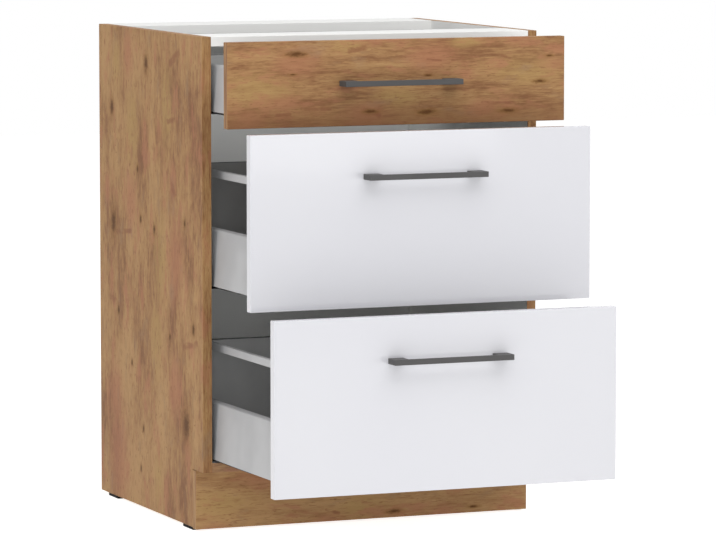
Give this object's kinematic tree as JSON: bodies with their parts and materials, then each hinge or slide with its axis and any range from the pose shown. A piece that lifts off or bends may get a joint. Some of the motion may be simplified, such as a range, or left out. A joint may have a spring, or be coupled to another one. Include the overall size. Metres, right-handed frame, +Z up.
{
  "type": "base cabinet with drawers",
  "caption": "Kitchen base cabinet with drawers on telescopic runners, metal drawer sides, bar handles, recessed plinth and open top.",
  "frame": {"origin": "on the floor, midway between the sides, in the plane of the carcass's front edges", "axes": "+Z up, -Y the way the drawers pull out, +X to the right of someone who faces the fronts"},
  "size_m": [0.6, 0.8605, 0.82],
  "materials": {
    "oak_board": "oak-effect melamine with vertical grain, satin",
    "oak_front": "oak-effect melamine with horizontal grain, satin",
    "gloss_front": "high-gloss white",
    "white_board": "white melamine, satin, oak-effect edge on the bottom panel's front",
    "hardboard": "white lacquered inside, brown behind",
    "drawer_board": "light grey melamine, satin",
    "drawer_metal": "light grey powder coat",
    "runner_steel": "dark zinc plate",
    "roller_nylon": "natural nylon",
    "handle_metal": "dark graphite, satin",
    "fastener_steel": "bright zinc plate",
    "cam_zinc": "die-cast, plain",
    "glide_plastic": "black, moulded",
    "dowel_beech": "bare beech"
  },
  "bodies": {
    "carcass": {"fixed_runners_left": "runner_steel", "runner_screws": "fastener_steel", "fixed_rollers": "roller_nylon", "fixed_runners_right": "runner_steel", "dowels": "dowel_beech", "cam_housings": "cam_zinc", "cam_bolts": "fastener_steel", "glides": "glide_plastic", "back_panel_nails": "fastener_steel", "back_panel": "hardboard", "side_panel_left": "oak_board", "side_panel_right": "oak_board", "bottom_panel": "white_board", "front_traverse": "white_board", "rear_traverse": "white_board", "plinth_board": "oak_board"},
    "top_drawer": {"top_drawer_handle_screws": "fastener_steel", "top_drawer_handle": "handle_metal", "top_drawer_screws": "fastener_steel", "top_drawer_front_brackets": "drawer_metal", "top_drawer_side_left": "drawer_metal", "top_drawer_rear_brackets": "drawer_metal", "top_drawer_channels": "runner_steel", "top_drawer_side_right": "drawer_metal", "top_drawer_front": "oak_front", "top_drawer_bottom": "drawer_board", "top_drawer_back": "drawer_board"},
    "top_slide": {"top_slide_rollers": "roller_nylon", "top_slide_members": "runner_steel"},
    "middle_drawer": {"middle_drawer_handle_screws": "fastener_steel", "middle_drawer_handle": "handle_metal", "middle_drawer_screws": "fastener_steel", "middle_drawer_front_brackets": "drawer_metal", "middle_drawer_side_left": "drawer_metal", "middle_drawer_rear_brackets": "drawer_metal", "middle_drawer_rails": "drawer_metal", "middle_drawer_rail_holders": "drawer_metal", "middle_drawer_channels": "runner_steel", "middle_drawer_side_right": "drawer_metal", "middle_drawer_front": "gloss_front", "middle_drawer_bottom": "drawer_board", "middle_drawer_back": "drawer_board"},
    "middle_slide": {"middle_slide_rollers": "roller_nylon", "middle_slide_members": "runner_steel"},
    "bottom_drawer": {"bottom_drawer_handle_screws": "fastener_steel", "bottom_drawer_handle": "handle_metal", "bottom_drawer_screws": "fastener_steel", "bottom_drawer_front_brackets": "drawer_metal", "bottom_drawer_side_left": "drawer_metal", "bottom_drawer_rear_brackets": "drawer_metal", "bottom_drawer_rails": "drawer_metal", "bottom_drawer_rail_holders": "drawer_metal", "bottom_drawer_channels": "runner_steel", "bottom_drawer_side_right": "drawer_metal", "bottom_drawer_front": "gloss_front", "bottom_drawer_bottom": "drawer_board", "bottom_drawer_back": "drawer_board"},
    "bottom_slide": {"bottom_slide_rollers": "roller_nylon", "bottom_slide_members": "runner_steel"}
  },
  "joints": [
    {"name": "top_drawer_slide", "type": "slide", "parent": "carcass", "child": "top_drawer", "axis": [0, -1, 0], "range_m": [-0.096, 0.304]},
    {"name": "top_runner_extension", "type": "slide", "parent": "carcass", "child": "top_slide", "axis": [0, -1, 0], "range_m": [-0.048, 0.152]},
    {"name": "middle_drawer_slide", "type": "slide", "parent": "carcass", "child": "middle_drawer", "axis": [0, -1, 0], "range_m": [-0.1985, 0.2015]},
    {"name": "middle_runner_extension", "type": "slide", "parent": "carcass", "child": "middle_slide", "axis": [0, -1, 0], "range_m": [-0.09925, 0.10075]},
    {"name": "bottom_drawer_slide", "type": "slide", "parent": "carcass", "child": "bottom_drawer", "axis": [0, -1, 0], "range_m": [-0.3015, 0.0985]},
    {"name": "bottom_runner_extension", "type": "slide", "parent": "carcass", "child": "bottom_slide", "axis": [0, -1, 0], "range_m": [-0.15075, 0.04925]}
  ],
  "couplings": [
    {"joint": "top_runner_extension", "follows": "top_drawer_slide", "ratio": 0.5},
    {"joint": "middle_runner_extension", "follows": "middle_drawer_slide", "ratio": 0.5},
    {"joint": "bottom_runner_extension", "follows": "bottom_drawer_slide", "ratio": 0.5}
  ]
}
